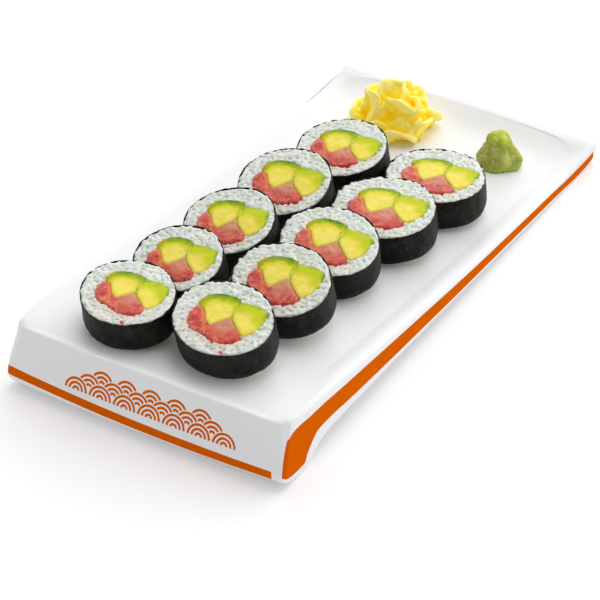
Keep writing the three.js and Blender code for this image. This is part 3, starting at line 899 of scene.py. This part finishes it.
def make_filling(name, part, finish, seed):
    """A strip of filling that runs through the slice, with a soft, uneven cut top."""
    set_down = slice_matrix(name)
    filling = node_copy(name + "_" + part, part + "_" + name)
    filling.data.transform(set_down.inverted())
    apply_modifier(filling, "REMESH", mode="VOXEL", voxel_size=0.6)
    apply_modifier(filling, "SMOOTH", factor=0.5, iterations=3)
    apply_modifier(filling, "DISPLACE", strength=0.4, mid_level=0)
    corners = corners_of(filling)
    top = smoothstep(corners[:, 2], SLICE_HEIGHT - 3, SLICE_HEIGHT - 0.5)
    rough = 0.45 if part == "tuna" else 0.22
    relief = lumps(corners, 4.5, seed) + 0.4 * lumps(corners, 1.7, seed + 7)
    corners[:, 2] += top * (0.35 + rough * relief)
    set_corners(filling, corners)
    radius = SLICES[name][2] / 2
    share = corners[:, :2] / radius
    if part == "tuna":
        slot = "tuna"
        off_apex = np.hypot(share[:, 0] - 0.14, (share[:, 1] + 0.02) * 0.8)
        store(filling, "pale", 1 - smoothstep(off_apex, 0.1, 0.42))
        store(filling, "fringe", 1 - smoothstep(edge_distance(share, TUNA_FRINGE), 0.0, 0.05))
        outer_side = FILLING_OUTLINES["tuna"][10:] + FILLING_OUTLINES["tuna"][:2]
        store(filling, "edge", 1 - smoothstep(edge_distance(share, outer_side), 0.03, 0.12))
        if name in TUNA_SCRAPS:
            scrap = tuna_scrap(np.array(TUNA_SCRAPS[name]) * radius, seed)
            filling = join(filling.name, [filling, scrap])
    else:
        slot = "avocado"
        wedge = part == "avocado_wedge"
        store(filling, "skin", edge_distance(share, WEDGE_SKIN if wedge else SLICE_SKIN) * radius)
        store(filling, "seam", edge_distance(share, WEDGE_SEAM) * radius)
        store(filling, "olive", (1 - wedge) * (1 - smoothstep(share[:, 0], -0.62, -0.38)))
        store(filling, "wedge", np.full(len(share), float(wedge)))
    filling.data.transform(TO_METRES @ set_down)
    complete(filling, finish, slot, name + "_" + part)


# ---------------------------------------------------------------- ginger and wasabi
def same_draws(seed):
    """The frame's own sequence of random numbers, so that the slices of ginger bend as its solids do."""
    state = seed
    while True:
        state = (state * 1664525 + 1013904223) & 0xFFFFFFFF
        yield state / 2**32


def ginger_leaves():
    """Each slice of ginger: its place and turn in degrees, its size, and how it curls."""
    draws = same_draws(GINGER_SEED)

    def stray():
        return GINGER_STRAY * (next(draws) - 0.5)

    for count, start, up, flare, length, width in GINGER_ROWS:
        for i in range(count):
            size = 0.85 + 0.3 * next(draws)
            yield {
                "around": start + 360 * i / count + stray(),
                "up": up + stray() / 2,
                "spin": 5 * stray(),
                "flare": flare + stray(),
                "length": length * size,
                "width": width * size,
                "wrap": 4 * next(draws) - 2.5,
                "ripple": 2 + 1.5 * next(draws),
                "phase": 6 * next(draws),
            }


def leaf_matrix(leaf):
    """Where a slice of ginger sits: one long edge in the core, opening away from it like a petal."""
    a = math.radians(leaf["around"])
    e = math.radians(leaf["up"])
    rx, ry, rz = GINGER_CORE
    sunk = Vector((rx * math.cos(e) * math.cos(a), ry * math.cos(e) * math.sin(a), rz * math.sin(e)))
    normal = Vector((sunk.x / rx**2, sunk.y / ry**2, sunk.z / rz**2)).normalized()
    along = Matrix.Rotation(math.radians(leaf["spin"]), 3, normal) @ Vector((-math.sin(a), math.cos(a), 0))
    across = Matrix.Rotation(math.radians(leaf["flare"]), 3, along) @ normal.cross(along)
    place = Matrix((along, across, along.cross(across))).transposed().to_4x4()
    place.translation = sunk + across * leaf["width"] * 0.3 - normal
    return place


def ginger_scraps():
    """The smaller slices, tucked in all over the core."""
    random = np.random.default_rng(GINGER_SCRAP_SEED)
    for _ in range(GINGER_SCRAPS):
        size = random.uniform(0.8, 1.2)
        yield {
            "around": random.uniform(0, 360),
            "up": random.uniform(0, 78),
            "spin": random.uniform(-80, 80),
            "flare": random.uniform(15, 60),
            "length": GINGER_SCRAP_SIZE[0] * size,
            "width": GINGER_SCRAP_SIZE[1] * size,
            "wrap": random.uniform(-2, 3),
            "ripple": random.uniform(0.5, 1.8),
            "phase": random.uniform(0, 6),
        }


def make_ginger_leaf(leaf, seed):
    """One crumpled slice of ginger."""
    rings = 10
    steps = 40
    corners = [(0, 0, 0)]
    for ring in range(1, rings + 1):
        for step in range(steps):
            angle = 2 * math.pi * step / steps
            reach = ring / rings * (1 + 0.12 * math.sin(3 * angle + leaf["phase"]))
            u = reach * math.cos(angle)
            v = reach * math.sin(angle)
            wave = -leaf["wrap"] * u * u
            wave += leaf["ripple"] * reach**2 * math.sin(2 * angle + leaf["phase"])
            wave += 0.5 * reach**2 * math.sin(5 * angle + 2 * leaf["phase"])
            corners.append((u * leaf["length"] / 2, v * leaf["width"] / 2, wave))
    corners = np.array(corners)
    corners[:, 2] += 1.6 * lumps(corners, 6, seed) + 0.5 * lumps(corners, 2.8, seed + 40)
    corners[:, 0] += 1.2 * lumps(corners, 4, seed + 80)
    corners[:, 1] += 1.2 * lumps(corners, 4, seed + 120)
    faces = [(0, 1 + step, 1 + (step + 1) % steps) for step in range(steps)]
    for ring in range(rings - 1):
        for step in range(steps):
            a = 1 + ring * steps + step
            b = 1 + ring * steps + (step + 1) % steps
            faces.append((a, a + steps, b + steps, b))
    piece = mesh_piece("ginger_leaf", corners, faces)
    piece.data.transform(leaf_matrix(leaf))
    apply_modifier(piece, "SOLIDIFY", thickness=GINGER_THICKNESS, offset=0)
    apply_modifier(piece, "SMOOTH", factor=0.6, iterations=6)
    return piece


def make_ginger(finish):
    """The heap: a lumpy core with the slices stuck into it, cut off where it rests on the plate."""
    leaves = [*ginger_leaves(), *ginger_scraps()]
    pieces = [make_ginger_leaf(leaf, seed) for seed, leaf in enumerate(leaves)]
    bpy.ops.mesh.primitive_ico_sphere_add(subdivisions=5, radius=1)
    core = bpy.context.object
    corners = corners_of(core) * GINGER_CORE
    out = corners / np.linalg.norm(corners, axis=1)[:, None]
    corners += out * (1.3 * lumps(corners, 6, 3) - 0.6)[:, None]
    set_corners(core, corners)
    ginger = join("ginger_slices", [core, *pieces])
    outer = np.linalg.norm(corners_of(ginger) / GINGER_CORE, axis=1)
    # The finish uses this share for deeper yellow inside and paler outer slices, partly painted light.
    store(ginger, "outer", smoothstep(outer, 0.95, 1.5))
    rise = Matrix.Scale(GINGER_RISE, 4, (0, 0, 1))
    ground = float(inside_height(GINGER_PLACE[1])) + SEAT_GAP
    place = Matrix.Translation((*GINGER_PLACE, ground))
    ginger.data.transform(place @ Matrix.Rotation(GINGER_TURN, 4, "Z") @ rise)
    corners = corners_of(ginger)
    floor = inside_height(corners[:, 1]) + 0.25
    corners[:, 2] = np.maximum(corners[:, 2], floor)
    set_corners(ginger, corners)
    ginger.data.transform(TO_METRES)
    complete(ginger, finish, "ginger", "ginger_heap")


def make_wasabi(finish):
    """A mound of paste, pinched up by hand into wide shoulders and a round knob."""
    profile = [(reach * WASABI_RADIUS, 0, up * WASABI_HEIGHT) for reach, up in WASABI_PROFILE]
    mound = mesh_piece("wasabi_mound_paste", profile, edges=[(i, i + 1) for i in range(len(profile) - 1)])
    edit(
        mound,
        lambda: bpy.ops.mesh.spin(steps=48, angle=2 * math.pi, center=(0, 0, 0), axis=(0, 0, 1)),
        lambda: bpy.ops.mesh.select_all(action="SELECT"),
        lambda: bpy.ops.mesh.remove_doubles(threshold=0.01),
        lambda: bpy.ops.mesh.normals_make_consistent(inside=False),
    )
    apply_modifier(mound, "SUBSURF", levels=3, render_levels=3)
    corners = corners_of(mound)
    x, y, z = corners.T.copy()
    angle = np.arctan2(y, x)
    pinch = 1 + 0.09 * np.sin(3 * angle + 0.6 + z / 6) + 0.05 * np.sin(5 * angle + 2 - z / 4)
    pinch += 0.04 * np.sin(7 * angle + 1) * smoothstep(z, 3, 9)
    corners = np.c_[x * pinch - WASABI_TILT * z, y * pinch, z]
    crumbs = (1 - smoothstep(z, 1, 5)) * smoothstep(z, -0.5, 0.8)
    out = corners / np.maximum(np.linalg.norm(corners, axis=1), 0.1)[:, None]
    relief = 0.8 * lumps(corners, 4, 5) + 0.4 * lumps(corners, 1.7, 6)
    relief += (0.1 + 0.35 * crumbs) * lumps(corners, 0.8, 7)
    corners += out * relief[:, None]
    # The knob joins the crumbs' mark as a painted light on the mound's top.
    store(mound, "crumbs", np.maximum(crumbs, smoothstep(z, 12, 17)))
    ground = float(inside_height(WASABI_PLACE[1])) + SEAT_GAP
    corners += (*WASABI_PLACE, ground)
    floor = inside_height(corners[:, 1]) + 0.3
    corners[:, 2] = np.maximum(corners[:, 2], floor)
    set_corners(mound, corners)
    mound.data.transform(TO_METRES)
    complete(mound, finish, "wasabi", "wasabi_mound")


# ---------------------------------------------------------------- the stage
def look_from(piece, target):
    """Turns a light or a camera so that it faces a point."""
    towards = Vector(target) - piece.location
    piece.rotation_euler = towards.to_track_quat("-Z", "Y").to_euler()


def add_light(name, place, size, power):
    bpy.ops.object.light_add(type="AREA", location=place)
    light = bpy.context.object
    light.name = name
    light.data.shape = "DISK"
    light.data.size = size
    light.data.energy = power
    look_from(light, (0, 0, 0.01))


def make_sky():
    """A white room with a broad, soft glow behind the plate."""
    world = bpy.data.worlds.new("studio")
    world.use_nodes = True
    sky = Nodes(world.node_tree)
    ray = sky.add("ShaderNodeTexCoord", output="Generated")
    inputs = {0: ray, 1: Vector(GLOW_DIRECTION).normalized()}
    facing = sky.add("ShaderNodeVectorMath", {"operation": "DOT_PRODUCT"}, inputs, output="Value")
    background = world.node_tree.nodes["Background"]
    sky.put(background, "Color", (1, 1, 1, 1))
    sky.put(background, "Strength", facing.larger(0) ** 2 * GLOW + ROOM_LIGHT)
    bpy.context.scene.world = world


def make_stage():
    """A pale paper floor, the room's light with a small lamp overhead, and the camera."""
    bpy.ops.mesh.primitive_plane_add(size=8)
    floor = bpy.context.object
    floor.name = "floor"
    paper = Finish("white_paper", Roughness=0.9, Emission_Color=(1, 1, 1, 1), Emission_Strength=0.1)
    place, _ = paper.place()
    cloud = paper.noise(place, 300, 1.0)
    paper.set(Base_Color=paper.mix(cloud, (0.93, 0.93, 0.94, 1), (0.95, 0.95, 0.95, 1)))
    floor.data.materials.append(paper.material)
    floor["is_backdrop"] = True
    make_sky()
    bpy.context.scene.view_settings.view_transform = "Standard"
    add_light("overhead", place=(0.1, 0.4, 2.4), size=1.4, power=10)

    bpy.ops.object.camera_add(location=CAMERA_PLACE)
    camera = bpy.context.object
    camera.data.sensor_width = CAMERA_SENSOR
    camera.data.lens = CAMERA_LENS
    look_from(camera, CAMERA_TARGET)
    bpy.context.scene.camera = camera


# ---------------------------------------------------------------- everything
make_stage()
make_plate(porcelain_finish())
nori = nori_finish()
rice = rice_finish()
tuna = tuna_finish()
avocado = avocado_finish()
grain = grain_shape()
for index, name in enumerate(SLICES):
    make_nori(name, nori, index)
    make_rice(name, rice, grain, index)
    make_filling(name, "tuna", tuna, index)
    make_filling(name, "avocado_slice", avocado, index + 30)
    make_filling(name, "avocado_wedge", avocado, index + 60)
make_ginger(ginger_finish())
make_wasabi(wasabi_finish())

boxes = {"cad": cad_box, "visual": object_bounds()}
{key: [list(corner) for corner in box] for key, box in boxes.items()}
